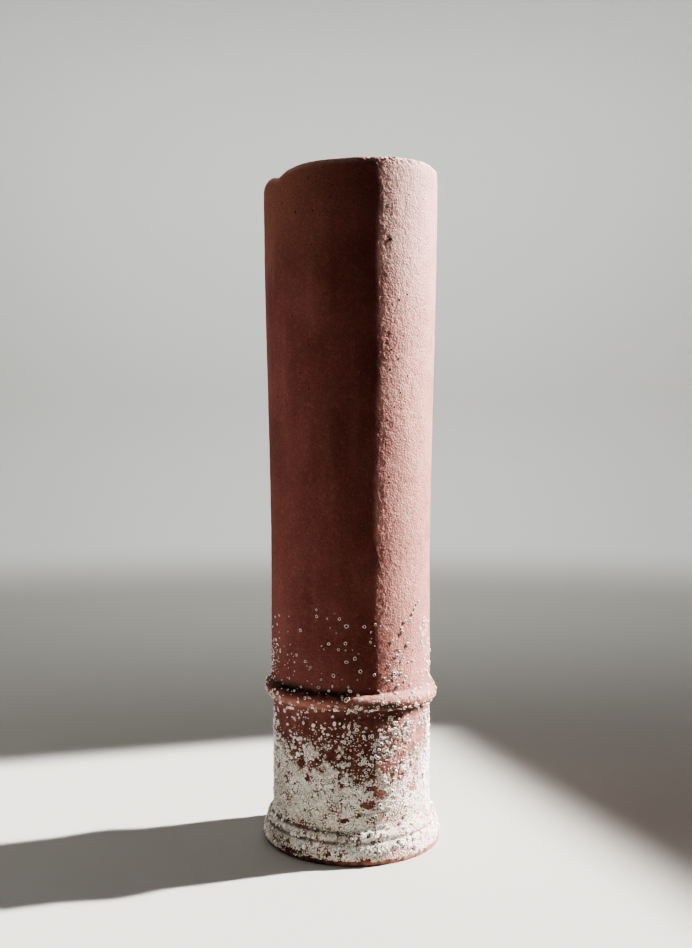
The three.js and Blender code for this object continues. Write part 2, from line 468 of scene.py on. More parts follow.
def crust_relief(angle, along, height, points):
    """Height of the crust over the clay, its tone and how thin it is. Worn shells of two sizes, each a
    ridge round a small pit, stand where the cover beats their own random number. A thin skin joins them
    where the cover is full, and elsewhere the crust dips under the clay between them."""
    cover = crust_cover(angle, height, points)
    local = cover + 0.33 * noise(points, 17.0, seed=21, octaves=2)
    local = local + 0.16 * noise(points, 6.0, seed=22, octaves=2)
    relief = np.full(local.shape, -BURIED)
    tone = np.full(local.shape, 0.12)
    skin = smooth((local - 0.82) / 0.22)
    rise = BURIED + 0.35 + 0.2 * noise(points, 12.0, seed=23, octaves=2)
    relief = np.maximum(relief, -BURIED + rise * skin)
    tone = tone + 0.3 * skin
    for size, tall, seed in CRUMBS:
        distance, mark = cells(angle, along, size, seed)
        present = smooth((local - 0.08 - 0.85 * mark) / 0.1)
        body = smooth((0.5 - distance) / 0.2) * present
        ridge = np.exp(-((distance - 0.27) / 0.13) ** 2)
        pit = np.exp(-(distance / 0.13) ** 2)
        raised = -BURIED + (BURIED + tall * (0.45 + 0.55 * ridge - 0.3 * pit) * (0.6 + 0.5 * mark)) * body
        relief = np.maximum(relief, raised)
        tone = np.maximum(tone, (0.55 + 0.4 * ridge - 0.35 * pit) * body)
    tone = tone + 0.14 * noise(points, 18.0, seed=24, octaves=3)
    thin = 1.0 - smooth((local - 0.62 + 0.12 * noise(points, 3.4, seed=25, octaves=2)) / 0.68)
    return relief, np.clip(tone, 0.0, 1.0), thin


def grid_faces(rows, cols, close_rows):
    """Corner numbers of the quads of a grid that closes round its columns, and round its rows if asked."""
    row = np.arange(rows if close_rows else rows - 1)[:, None]
    col = np.arange(cols)[None, :]
    next_row = (row + 1) % rows
    next_col = (col + 1) % cols
    corners = [row * cols + col, row * cols + next_col, next_row * cols + next_col, next_row * cols + col]
    return np.stack([np.broadcast_to(c, (row.size, cols)) for c in corners], axis=-1).reshape(-1, 4)


def make_piece(name, points, faces, attributes, material):
    """An object whose mesh has the given points, in millimetres, faces as arrays of corner numbers with
    one array for each number of corners, and a number for each point and attribute name."""
    mesh = bpy.data.meshes.new(name)
    mesh.vertices.add(len(points))
    mesh.vertices.foreach_set("co", (points * MM).astype(np.float32).ravel())
    corners = np.concatenate([group.ravel() for group in faces]).astype(np.int32)
    sizes = np.concatenate([np.full(len(group), group.shape[1]) for group in faces])
    starts = np.concatenate([[0], np.cumsum(sizes)[:-1]]).astype(np.int32)
    mesh.loops.add(len(corners))
    mesh.loops.foreach_set("vertex_index", corners)
    mesh.polygons.add(len(sizes))
    mesh.polygons.foreach_set("loop_start", starts)
    mesh.update(calc_edges=True)
    mesh.shade_smooth()
    for label, values in attributes.items():
        layer = mesh.attributes.new(label, "FLOAT", "POINT")
        layer.data.foreach_set("value", values.astype(np.float32).ravel())
    mesh.materials.append(material)
    piece = bpy.data.objects.new(name, mesh)
    bpy.context.scene.collection.objects.link(piece)
    return piece


def linear(hex_colour):
    """An sRGB hex colour as linear red, green, blue and alpha."""
    channels = [int(hex_colour[i:i + 2], 16) / 255.0 for i in (1, 3, 5)]
    return tuple(c / 12.92 if c <= 0.04045 else ((c + 0.055) / 1.055) ** 2.4 for c in channels) + (1.0,)


def add(tree, kind, links=None, **settings):
    """A new node with its settings, and each input linked to a socket or set to a value."""
    node = tree.nodes.new(kind)
    for setting, value in settings.items():
        setattr(node, setting, value)
    for key, value in (links or {}).items():
        if isinstance(value, bpy.types.NodeSocket):
            tree.links.new(value, node.inputs[key])
        else:
            node.inputs[key].default_value = value
    return node


def mask(tree, *parts):
    """The product of the parts of a mask. A part is a number, a socket, or a socket with the values between
    which it rises smoothly and, where they aren't 0 and 1, the shares that it rises from and to."""
    product = None
    for part in parts:
        value, *rise = part if isinstance(part, tuple) else (part,)
        if rise:
            links = {"Value": value, **dict(zip(("From Min", "From Max", "To Min", "To Max"), rise))}
            node = add(tree, "ShaderNodeMapRange", links, interpolation_type="SMOOTHSTEP")
            value = node.outputs["Result"]
        if product is not None:
            value = add(tree, "ShaderNodeMath", {0: product, 1: value}, operation="MULTIPLY").outputs[0]
        product = value
    return product


def lay_coats(tree, colour, coats):
    """A colour with thin coats laid over it in order. A coat is its colour and the parts of its mask."""
    for coat, *parts in coats:
        links = {0: mask(tree, *parts), 6: colour, 7: coat}
        colour = add(tree, "ShaderNodeMix", links, data_type="RGBA").outputs[2]
    return colour


def per_metre(size):
    """Texture scale of a pattern whose features are the given number of millimetres apart."""
    return 1.0 / (size * MM)


def new_material(name):
    """An empty node material and its tree."""
    material = bpy.data.materials.new(name)
    material.use_nodes = True
    material.node_tree.nodes.clear()
    return material, material.node_tree


def finish_material(tree, colour, reliefs, roughness, specular):
    """Principled surface and output for a matt mineral finish. Each relief stands on the one before and is
    given as a pattern, its depth and whether it is turned inside out."""
    normal = {}
    for pattern, depth, inside_out in reliefs:
        links = {"Height": pattern, "Strength": 1.0, "Distance": depth, **normal}
        normal = {"Normal": add(tree, "ShaderNodeBump", links, invert=inside_out).outputs["Normal"]}
    links = {"Base Color": colour, "Roughness": roughness, "Specular IOR Level": specular, **normal}
    shader = add(tree, "ShaderNodeBsdfPrincipled", links)
    add(tree, "ShaderNodeOutputMaterial", {"Surface": shader.outputs["BSDF"]})


def weathered_terracotta(props):
    """Fired red clay, unglazed and sand-gritted: nearly matt, with a coarse grain that catches low light,
    painted light on its lit right side and on the band's lit top, rain streaks, dirt with painted shade in
    the crease over the band and under its lit top, a painted shadow under the band, soot, paler clay on the
    band's lower half, rubbed clay on the foot's edge and a chalky, pitted break along the rim, with painted
    light high on the lit side."""
    material, tree = new_material("weathered terracotta")
    place_at = add(tree, "ShaderNodeTexCoord").outputs["Object"]
    # Rain streaks are noise drawn out along the height
    long_way = add(tree, "ShaderNodeVectorMath", {0: place_at, 1: (1.0, 1.0, 0.12)}, operation="MULTIPLY")
    # Grit and sand are 0.5 to 1.5 mm in life, and are drawn at 2 to 3.2 mm so that they show at this size
    broad, mottle, streak, grit = (
        add(tree, "ShaderNodeTexNoise", {"Vector": vector, "Scale": per_metre(size), "Detail": detail,
                                         "Roughness": roughness}).outputs["Fac"]
        for vector, size, detail, roughness in ((place_at, 120, 3.0, 0.5), (place_at, 9, 4.0, 0.5),
                                                (long_way.outputs["Vector"], 24, 3.0, 0.5),
                                                (place_at, 2.0, 3.0, 0.6)))
    lumps, sand, holes = (
        add(tree, "ShaderNodeTexVoronoi", {"Vector": place_at, "Scale": per_metre(size)},
            feature="F1").outputs
        for size in (3.2, 2.2, 5.5))
    painted_light, rubbed, dirt_and_shade, soot, warm, raw_and_lit = (
        add(tree, "ShaderNodeAttribute", attribute_name=key).outputs["Fac"]
        for key in ("painted_light", "rubbed", "dirt_and_shade", "soot", "warm", "raw_and_lit"))
    colour = lay_coats(tree, props.deep, [
        (props.red, (broad, 0.3, 0.7)),
        (props.pale, (mottle, 0.5, 0.8, 0.0, 0.3)),
        (props.pale, (streak, 0.52, 0.74, 0.0, 0.24)),
        (props.deep, (streak, 0.46, 0.26, 0.0, 0.45)),
        (props.warm, warm),
        (props.deep, (grit, 0.48, 0.3, 0.0, 0.65)),
        (props.pale, (grit, 0.6, 0.74, 0.0, 0.5)),
        # Painted light: the pale coat of the lit right side and of the band's lit top
        (props.painted_light, painted_light, (mottle, 0.3, 0.7, 0.78, 1.0), (streak, 0.3, 0.5, 0.8, 1.0)),
        (props.deep, (grit, 0.41, 0.29, 0.0, 0.6)),
        (props.deep, (sand["Color"], 0.36, 0.16, 0.0, 0.3)),
        (props.pale, (sand["Color"], 0.64, 0.84, 0.0, 0.18)),
        # Chalk on the rim's rough break, and painted light high on the lit side
        (props.chalk, raw_and_lit, 0.62),
        (props.deep, raw_and_lit, (holes["Distance"], 0.34, 0.2)),
        (props.rubbed, rubbed),
        # Dirt, with painted shade in the crease over the band, under its lit top and in the band's painted
        # shadow
        (props.dirt_and_shade, dirt_and_shade),
        (props.soot, soot),
    ])
    reliefs = [(lumps["Distance"], props.lump_relief, True), (grit, props.grit_relief, False)]
    finish_material(tree, colour, reliefs, roughness=0.68, specular=0.2)
    return material


def lime_crust_finish(props):
    """Dried lime and worn shell bases, like old limewash with sand in it: chalk-dull, cream on the crests,
    with the clay's brown dirt in its pits and in a net of fine gaps that opens where it is thin. The gaps
    are paler on the lit side, which is painted light, and grime with painted shade darkens the foot's
    grooves, the shaded left and the crust behind."""
    material, tree = new_material("lime crust")
    place_at = add(tree, "ShaderNodeTexCoord").outputs["Object"]
    warp = add(tree, "ShaderNodeTexNoise", {"Vector": place_at, "Scale": per_metre(6), "Detail": 2.0})
    bent = add(tree, "ShaderNodeVectorMath", {0: warp.outputs["Color"], 1: (2.5 * MM,) * 3, 2: place_at},
               operation="MULTIPLY_ADD").outputs["Vector"]
    grains = add(tree, "ShaderNodeTexVoronoi", {"Vector": bent, "Scale": per_metre(2.7)},
                 feature="F1").outputs["Distance"]
    grain, patch, cloud = (
        add(tree, "ShaderNodeTexNoise",
            {"Vector": place_at, "Scale": per_metre(size), "Detail": detail}).outputs["Fac"]
        for size, detail in ((1.8, 3.0), (11, 3.0), (34, 4.0)))
    tone, grime_and_shade, side, thin = (add(tree, "ShaderNodeAttribute", attribute_name=key).outputs["Fac"]
                               for key in ("tone", "grime_and_shade", "painted_light", "thin"))
    lime = lay_coats(tree, props.cream, [
        (props.white, (cloud, 0.35, 0.7)),
        (props.grey, (grain, 0.5, 0.3, 0.0, 0.5)),
    ])
    # Painted light: the gaps are paler on the lit side
    pit = lay_coats(tree, props.pit, [(props.lit_pit, side)])
    start = add(tree, "ShaderNodeMath", {0: thin, 1: -0.16, 2: 0.46}, operation="MULTIPLY_ADD").outputs[0]
    stop = add(tree, "ShaderNodeMath", {0: start, 1: 0.14}, operation="ADD").outputs[0]
    worn = add(tree, "ShaderNodeMath", {0: mask(tree, (patch, 0.4, 0.62, 0.3, 0.9)), 1: thin},
               operation="MAXIMUM").outputs[0]
    colour = lay_coats(tree, pit, [
        (lime, (tone, 0.12, 0.42)),
        (pit, (grains, start, stop), worn),
        # Grime, with painted shade in the foot's grooves, on the shaded left and behind
        (props.grime_and_shade, grime_and_shade),
    ])
    reliefs = [(grains, 0.9 * MM, True), (grain, 0.5 * MM, False)]
    finish_material(tree, colour, reliefs, roughness=0.95, specular=0.2)
    return material


def shell_finish(props):
    """Small empty shells of dead white lime: matt, a little grey outside and dark down the hole, with dirt
    and painted shade.
    """
    material, tree = new_material("bleached shell")
    place_at = add(tree, "ShaderNodeTexCoord").outputs["Object"]
    grain = add(tree, "ShaderNodeTexNoise", {"Vector": place_at, "Scale": per_metre(1.2), "Detail": 2.0})
    hollow, shade, dark = (add(tree, "ShaderNodeAttribute", attribute_name=key).outputs["Fac"]
                           for key in ("hollow", "shade", "grain"))
    colour = lay_coats(tree, props.shell_grey, [
        (props.shell_white, shade),
        # Dirt and painted shade down the holes
        (props.shell_hole, hollow),
        (props.grain, dark),
    ])
    reliefs = [(grain.outputs["Fac"], 0.2 * MM, False)]
    finish_material(tree, colour, reliefs, roughness=0.8, specular=0.3)
    return material


def painted_board(props):
    """Studio boards in flat emulsion: an even pale surface with no grain at this distance, a coat darker
    on the floor than on the wall."""
    material, tree = new_material("flat emulsion")
    place_at = add(tree, "ShaderNodeTexCoord").outputs["Object"]
    level = add(tree, "ShaderNodeSeparateXYZ", {"Vector": place_at}).outputs["Z"]
    colour = lay_coats(tree, props.floor, [(props.wall, (level, 0.0, 0.2))])
    finish_material(tree, colour, [], roughness=0.95, specular=0.1)
    return material


def colour_property(name, about, hex_colour):
    """A colour setting whose default is an sRGB hex colour."""
    return FloatVectorProperty(name=name, description=about, subtype="COLOR", size=4, min=0.0, max=1.0,
                               default=linear(hex_colour))


def length_property(name, about, millimetres):
    """A length setting whose default is given in millimetres."""
    return FloatProperty(name=name, description=about, default=millimetres * MM, unit="LENGTH")


def count_property(name, about, count, least=8):
    """A setting that is a whole number and no less than the least."""
    return IntProperty(name=name, description=about, default=count, min=least)


class ClayProperties(bpy.types.PropertyGroup):
    """Fineness, relief and colours of the clay."""
    around: count_property("Around", "Columns of faces round the pot", 262, least=24)
    closer: FloatProperty(name="Closer", description="How much closer the columns are where light grazes",
                          default=2.6, min=1.0)
    upper_rows: count_property("Upper rows", "Rows of faces on the upper barrel", 290)
    relief: length_property("Relief", "Height of the uneven surface", 0.3)
    rim_relief: length_property("Rim relief", "Roughness of the broken rim", 4.4)
    bumps: length_property("Bumps", "Height of the coarse grit that is in the mesh", 0.32)
    grit_relief: length_property("Grit", "Height of the fine grit in the finish", 0.62)
    lump_relief: length_property("Lumps", "Height of the larger lumps", 0.55)
    red: colour_property("Red", "Fired clay", "#804D46")
    deep: colour_property("Deep red", "Clay where it fired darker", "#683730")
    pale: colour_property("Pale red", "Clay with lime dust in it", "#9A6A5E")
    warm: colour_property("Warm", "Browner clay near the rim and behind", "#7F5543")
    # Painted light: colour of the lit right side
    painted_light: colour_property("Bloom", "Chalky bloom on the weather side", "#D19C91")
    rubbed: colour_property("Rubbed", "Clay rubbed clean on edges", "#AA7765")
    # Dirt, and painted shade in the crease and under the band
    dirt_and_shade: colour_property("Dirt", "Moss and dirt in the crease", "#1A1611")
    soot: colour_property("Soot", "Soot in the bore", "#16110F")
    # Also laid as painted light high on the lit side
    chalk: colour_property("Chalk", "Weathered break of the rim", "#E6D3CC")


class CrustProperties(bpy.types.PropertyGroup):
    """Fineness, thickness and colours of the lime crust."""
    around: count_property("Around", "Columns of faces round the pot", 900, least=24)
    foot_rows: count_property("Foot rows", "Rows of faces on the foot", 72)
    low_rows: count_property("Low rows", "Rows of faces on the dense crust", 92)
    high_rows: count_property("High rows", "Rows of faces on the thin crust", 106)
    thickness: length_property("Thickness", "Mean depth of crust inside the pot's size", 0.9)
    white: colour_property("White", "Clean lime", "#E8E4DD")
    cream: colour_property("Cream", "Older lime", "#CFC8BB")
    grey: colour_property("Grey", "Lime with dust on it", "#ABA397")
    pit: colour_property("Pit", "Clay and dirt in the crust's gaps", "#5A2E26")
    # Painted light: the crust's gaps on the lit side
    lit_pit: colour_property("Pale pit", "Bleached clay in the crust's gaps", "#A0665B")
    # Grime, and painted shade in the foot's grooves, on the shaded left and behind
    grime_and_shade: colour_property("Grime", "Dirt over the foot's grooves", "#4B443A")


class ShellProperties(bpy.types.PropertyGroup):
    """Number, size and colours of the small shells."""
    spacing: length_property("Spacing", "Distance between possible shells", 4.4)
    largest: length_property("Largest", "Radius of the largest shells", 3.3)
    smallest: length_property("Smallest", "Radius of the smallest shells", 1.1)
    top: length_property("Highest", "Height of the highest shells", 455)
    shell_white: colour_property("White", "Bleached shell", "#F7F5F0")
    shell_grey: colour_property("Grey", "Weathered shell", "#DAD4C9")
    # Dirt and painted shade down the shells' holes
    shell_hole: colour_property("Hole", "Dirt in the shells", "#22130F")
    grain: colour_property("Grain", "Dark iron grains and crumbs", "#241512")


class StageProperties(bpy.types.PropertyGroup):
    """Camera, light and studio boards."""
    lens: FloatProperty(name="Lens", description="Focal length on a 36 mm sensor", default=38.73,
                        subtype="DISTANCE_CAMERA")
    distance: length_property("Distance", "Camera to the pot's axis", 1601)
    height: length_property("Height", "Camera above the floor", 590)
    aside: length_property("Aside", "Camera to the left of the axis", 8.5)
    pitch: FloatProperty(name="Pitch", description="Camera tilt down", default=math.radians(0.843),
                         subtype="ANGLE")
    key_azimuth: FloatProperty(name="Key azimuth", description="Round from the front to the right",
                               default=math.radians(108.0), subtype="ANGLE")
    key_rise: FloatProperty(name="Key rise", description="Up from the floor", default=math.radians(32.0),
                            subtype="ANGLE")
    key: FloatProperty(name="Key", description="Power of the gridded key box", default=17.8,
                       subtype="POWER")
    fill: FloatProperty(name="Fill", description="Power of the soft box on the left", default=12.6,
                        subtype="POWER")
    wash: FloatProperty(name="Wash", description="Power of the wall wash", default=23.0, subtype="POWER")
    sky: FloatProperty(name="Sky", description="Strength of the light over the boards", default=0.2)
    floor: colour_property("Floor", "Flat emulsion on the floor", "#B0AEA9")
    wall: colour_property("Wall", "Flat emulsion on the wall", "#DEDEDB")


def clay_section(angle, steps):
    """The whole closed section through the wall: up the outside, over the rim, down the bore and back
    across the base."""
    rows = outside_rows(angle, steps)
    rim = rim_section(angle, steps["edge"])
    under_rim = rim[0][1][0] - RIM_ROUGH
    rows.append(straight(rows[-1][1][-1], under_rim, steps["upper"]))
    rows.append(straight(under_rim, rim[0][1][0], steps["under_rim"]))
    rows += rim
    rows.append(straight(rim[-1][1][-1], BASE_CHAMFER, steps["bore"], inset=WALL))
    bottom = np.array([[BASE_CHAMFER], [0.0]])
    rows.append((barrel_radius(bottom) - WALL + BASE_CHAMFER - bottom, bottom))
    return stack(rows, angle)


def clay_relief(points, angle, radius, height, props):
    """Height of the clay's own unevenness: broad dents and finger-wide ripples everywhere, coarse grit that
    is fullest where light grazes it, drawn at 3.5 mm so that the mesh can hold it, a rough break along the
    rim that is roughest at the front right, and the crust's depth taken off the lower part."""
    outer = smooth((radius - barrel_radius(height) + WALL * 0.5) / (WALL * 0.3))
    broad = noise(points, 60.0, seed=1, octaves=2)
    fine = noise(points, 8.5, seed=3, octaves=2)
    below_rim = rim_height(angle) - height
    broken = smooth(1.0 - below_rim / RIM_ROUGH)
    jagged = np.abs(noise(points, 6.5, seed=5, octaves=3))
    chipped = -jagged * props.rim_relief / MM * broken * rim_roughness(angle)
    crusted = 1.0 - smooth((height - CRUST_START + 8.0) / 30.0)
    off = crust_depth() * crusted * smooth(height / 12.0)
    grit = props.bumps / MM * (0.3 + 0.7 * grazed(angle)) * noise(points, 3.5, seed=7, octaves=2)
    return outer * (props.relief / MM * (0.45 * broad + 0.7 * fine) + grit - off) + chipped


def crust_depth():
    """Mean depth of crust that lies inside the pot's size, in millimetres."""
    return bpy.context.scene.pot_crust.thickness / MM


def lit_side(angle, cloud):
    """Painted light: 1 on the lit front right, from just past the key light's terminator, less on the right
    and the back, 0 on the shaded front and the left.
    """
    turn = (angle + 90.0) % 360.0 - 90.0
    far = 1.0 - 0.8 * smooth((turn - 56.0 + 24.0 * cloud) / 62.0)
    return smooth((turn - LIT_EDGE + 1.5 * cloud) / 6.0) * far * smooth((235.0 - turn) / 60.0)


def rim_roughness(angle):
    """1 where the rim broke off rough, at the front right, and less where it is worn smooth."""
    return 0.12 + 0.88 * between(turn_between(angle, ROUGH_RIM_AT), (-49.0, -39.0), (40.0, 60.0))


def clay_marks(points, angle, radius, height):
    """Masks for the clay's finish. Painted light lies on the lit right, thinner behind, and on the band's
    lit top. Paler clay shows on the band's lower half and rubbed clay on the foot's lower edge. Dirt and
    painted shade fill the crease over the band, most on the shaded front left. Painted shade darkens the
    hollow under the band's lit top, and a painted shadow of the band, with some dirt, darkens the clay
    below it at the front right. The foot's lower edge is darker, most on the left, and dirt specks the clay
    between the crust's crumbs. Soot lies in the bore. The clay is browner under the rim on the left and
    over the back, and the rim's rough break is raw and chalky, with painted light high on the lit side."""
    cloud = noise(points, 40.0, seed=61, octaves=3)
    speck = noise(points, 5.0, seed=62, octaves=2)
    swept = turn_between(angle, 0.0)
    barrel = barrel_radius(height)
    from_middle = height - band_middle(angle)
    below_rim = rim_height(angle) - height
    proud = smooth((radius - barrel - 1.0) / 4.0)
    on_right = between(swept, (-25.0, 5.0), (110.0, 150.0))

    lit_top = proud * smooth((from_middle + 1.0) / 5.0) * between(swept, (-4.0, 4.0), (70.0, 90.0))
    higher = 0.74 + 0.26 * smooth((height - 300.0) / 480.0)
    # Painted light on the lit side, more of it higher up, and on the band's lit top
    painted_light = np.maximum(lit_side(angle, cloud) * (0.84 + 0.14 * cloud) * higher, 0.75 * lit_top)
    # Painted shadow of the band on the clay below it at the front right, longest near the terminator, with
    # some dirt
    under = -from_middle - 0.5 * (BAND_WIDTH - BAND_PINCH * band_front(angle))
    reach = 3.0 + 22.0 * (1.0 - smooth((swept - 14.0) / 46.0))
    band_shadow_and_dirt = smooth((reach - under) / 3.0) * smooth((under + 9.0) / 5.0)
    band_shadow_and_dirt = band_shadow_and_dirt * between(swept, (-24.0, -10.0), (60.0, 68.0))
    # Painted shade in the hollow under the band's lit top, speckled
    hollow = smooth(1.4 - np.abs(from_middle + 4.5) / 5.0) * proud
    hollow = hollow * between(swept, (-14.0, -2.0), (34.0, 50.0))
    # No painted light where the band's painted shadow and the painted shade under its lit top lie
    painted_light = painted_light * (1.0 - band_shadow_and_dirt) * (1.0 - hollow)

    # Paler clay on the band's lower half, and rubbed clay on the foot's lower edge, more on the right
    low_half = smooth(1.3 - np.abs(from_middle + 7.0) / 8.0)
    on_edge = smooth((10.0 + 2.0 * cloud - height) / 5.0) * (radius > LOWER_RADIUS - 0.5 * WALL)
    rubbed = np.maximum(0.8 * proud * low_half * smooth(0.75 + 0.5 * speck),
                        on_edge * (0.2 + 0.4 * on_right))

    # Dirt and painted shade in the crease over the band, most on the shaded front left
    crease = smooth(1.0 - np.abs(from_middle - 12.0) / (13.0 + 4.0 * cloud))
    crease = crease * (0.25 + 0.75 * between(swept, (-82.0, -56.0), (-6.0, 4.0)))
    # Darker along the foot's lower edge, most on the left and least on the right
    on_foot = smooth((24.0 - height) / 9.0) * smooth((radius - LOWER_RADIUS) / 4.0)
    splashed = smooth((222.0 - height) / 24.0) * smooth(radius - barrel + 2.0)
    dirt_and_shade = np.maximum.reduce([
        crease * smooth(0.9 + 0.7 * speck + 0.3 * cloud) * (radius > barrel - 0.5 * WALL),
        on_foot * (0.78 - 0.68 * on_right) * smooth(0.8 + speck),
        0.5 * band_shadow_and_dirt * smooth(0.8 + 0.8 * speck),
        0.8 * hollow * smooth(0.55 + 1.1 * speck),
        0.5 * splashed * smooth(0.35 + 1.1 * speck),
    ])
    soot = smooth((barrel - 0.75 * WALL - radius) / 3.0) * (0.35 + 0.55 * smooth((below_rim - 6.0) / 90.0))

    warm = smooth((height - 820.0 + 30.0 * cloud) / 190.0) * smooth((8.0 - swept) / 50.0)
    round_back = turn_between(angle, BROWN_BACK)
    behind = smooth((round_back + 85.0 + 18.0 * cloud) / 50.0)
    behind = behind * smooth((80.0 - round_back + 18.0 * cloud) / 50.0)
    warm = 0.72 * np.maximum(warm, behind * (0.85 + 0.5 * cloud))
    # Chalk on the rim's rough break, and painted light high on the lit side
    raw_and_lit = smooth(1.0 - below_rim / 11.0) * (0.3 + 0.7 * rim_roughness(angle)) * (0.8 + 0.5 * speck)
    raw_and_lit = np.maximum(raw_and_lit, 0.3 * painted_light * smooth((height - 760.0) / 170.0))
    marks = {"painted_light": painted_light, "rubbed": rubbed, "dirt_and_shade": dirt_and_shade, "soot": soot, "warm": warm, "raw_and_lit": raw_and_lit}
    return {name: np.clip(value, 0.0, 1.0) for name, value in marks.items()}


class CHIMNEYPOT_OT_clay(bpy.types.Operator):
    """Make the clay pot in place of its plain solid"""
    bl_idname = "chimney_pot.clay"
    bl_label = "Clay"

    def execute(self, context):
        props = context.scene.pot_clay
        angle = uneven_columns(props.around, props.closer)
        steps = {"roll": 6, "bead": 5, "cove": 4, "lower": 14, "band": 16, "upper": props.upper_rows,
                 "under_rim": 7, "edge": 6, "bore": 10}
        radius, height = clay_section(angle, steps)
        points = place(radius, height, angle)
        relief = clay_relief(points, angle, radius, height, props)
        shaped = points + outward(points) * relief[..., None]
        faces = grid_faces(*radius.shape, close_rows=True)
        marks = clay_marks(points, angle, radius, height)
        pot = make_piece("clay_pot", shaped.reshape(-1, 3), [faces], marks, weathered_terracotta(props))
        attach(pot, "root")
        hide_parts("pot")
        return {"FINISHED"}


def crust_guide(angle):
    """Radius and height rows of the pot's outside, from the floor to just above the band, and how far
    along the front section each row lies."""
    steps = {"roll": 16, "bead": 16, "cove": 12, "lower": 60, "band": 40}
    rows = outside_rows(angle, steps)
    rows.append(straight(rows[-1][1][-1], CRUST_TOP, 8))
    radius, height = stack(rows, angle)
    step = np.hypot(np.diff(radius[:, :1], axis=0), np.diff(height[:, :1], axis=0))[:, 0]
    return radius, height, np.concatenate([[0.0], np.cumsum(step)])


def at_places(rows, order):
    """Values between the rows of an array: order gives row numbers with their fractions."""
    low = np.clip(np.floor(order).astype(int), 0, len(rows) - 2)
    share = order - low
    return rows[low] * (1.0 - share)[:, None] + rows[low + 1] * share[:, None]


def crust_skin(name, angle, guide, start, stop, rows, props, material):
    """A closed skin over part of the pot's outside: an outer grid raised by the crust's relief, and a back
    inside the wall. Painted shade darkens the foot's grooves on the shaded side, the shaded left low down
    and the crust behind, against the key light. A dark line marks the bead's joint, and the grime varies at
    random."""
    radius, height, along = guide
    places = np.linspace(start, stop, rows)
    order = np.interp(places, along, np.arange(len(along)))
    r, z = at_places(radius, order), at_places(height, order)
    points = place(r, z, angle)
    relief, tone, thin = crust_relief(angle[None, :], places[:, None], z, points)
    # Painted shade: the grooves darken on the shaded side, the left low down, and the crust behind against
    # the key light
    grooves = np.maximum(smooth(1.0 - np.abs(z - ROLL_HEIGHT) / 4.0),
                         smooth(1.0 - np.abs(z - ROLL_HEIGHT - BEAD_HEIGHT) / 3.5))
    left = smooth(-turn_between(angle, -20.0) / 50.0)
    shade_side = 0.15 + 0.85 * smooth((18.0 - turn_between(angle, 0.0)) / 20.0)
    back = 0.3 * smooth((92.0 - np.abs(turn_between(angle, 165.0))) / 25.0)
    grime_and_shade = 0.6 * grooves * shade_side + 0.25 * left * smooth((50.0 - z) / 30.0) + back
    on_bead = between(z, (29.0, 33.0), (45.0, 50.0))
    grime_and_shade = grime_and_shade + 0.8 * on_bead * np.exp(-((turn_between(angle, BEAD_JOINT) + 0.2) / 0.5) ** 2)
    grime_and_shade = grime_and_shade + 0.2 * noise(points, 16.0, seed=71, octaves=3)
    relief = np.where(relief > 0.0, relief * (0.5 + 0.5 * smooth((z - 45.0) / 25.0)), relief)
    shaped = points + outward(points) * (relief - props.thickness / MM)[..., None]
    backs = [place(r[[k]] - SKIN_BACK, np.maximum(z[[k]], 1.0), angle) for k in (-1, 0)]
    grid = np.concatenate([shaped, *backs])
    pad = np.zeros((2, angle.size))
    # Painted light: the crust's gaps are paler on the lit side
    pale = np.broadcast_to(lit_side(angle, 0.0), z.shape)
    marks = {"tone": tone, "grime_and_shade": np.clip(grime_and_shade, 0.0, 0.75), "painted_light": pale, "thin": thin}
    marks = {label: np.concatenate([values, pad]) for label, values in marks.items()}
    faces = grid_faces(grid.shape[0], angle.size, close_rows=True)
    skin = make_piece(name, grid.reshape(-1, 3), [faces], marks, material)
    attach(skin, "root")


class CHIMNEYPOT_OT_crust(bpy.types.Operator):
    """Grow the lime crust over the foot and the lower barrel"""
    bl_idname = "chimney_pot.crust"
    bl_label = "Lime crust"

    def execute(self, context):
        props = context.scene.pot_crust
        angle = columns(props.around)
        guide = crust_guide(angle)
        height, along = guide[1:]
        joint = float(np.interp(COVE_TOP, height[:, 0], along))
        split = float(np.interp(CRUST_SPLIT, height[:, 0], along))
        material = lime_crust_finish(props)
        crust_skin("crust_foot", angle, guide, 0.0, joint, props.foot_rows, props, material)
        crust_skin("crust_low", angle, guide, joint, split, props.low_rows, props, material)
        crust_skin("crust_high", angle, guide, split, along[-1], props.high_rows, props, material)
        return {"FINISHED"}


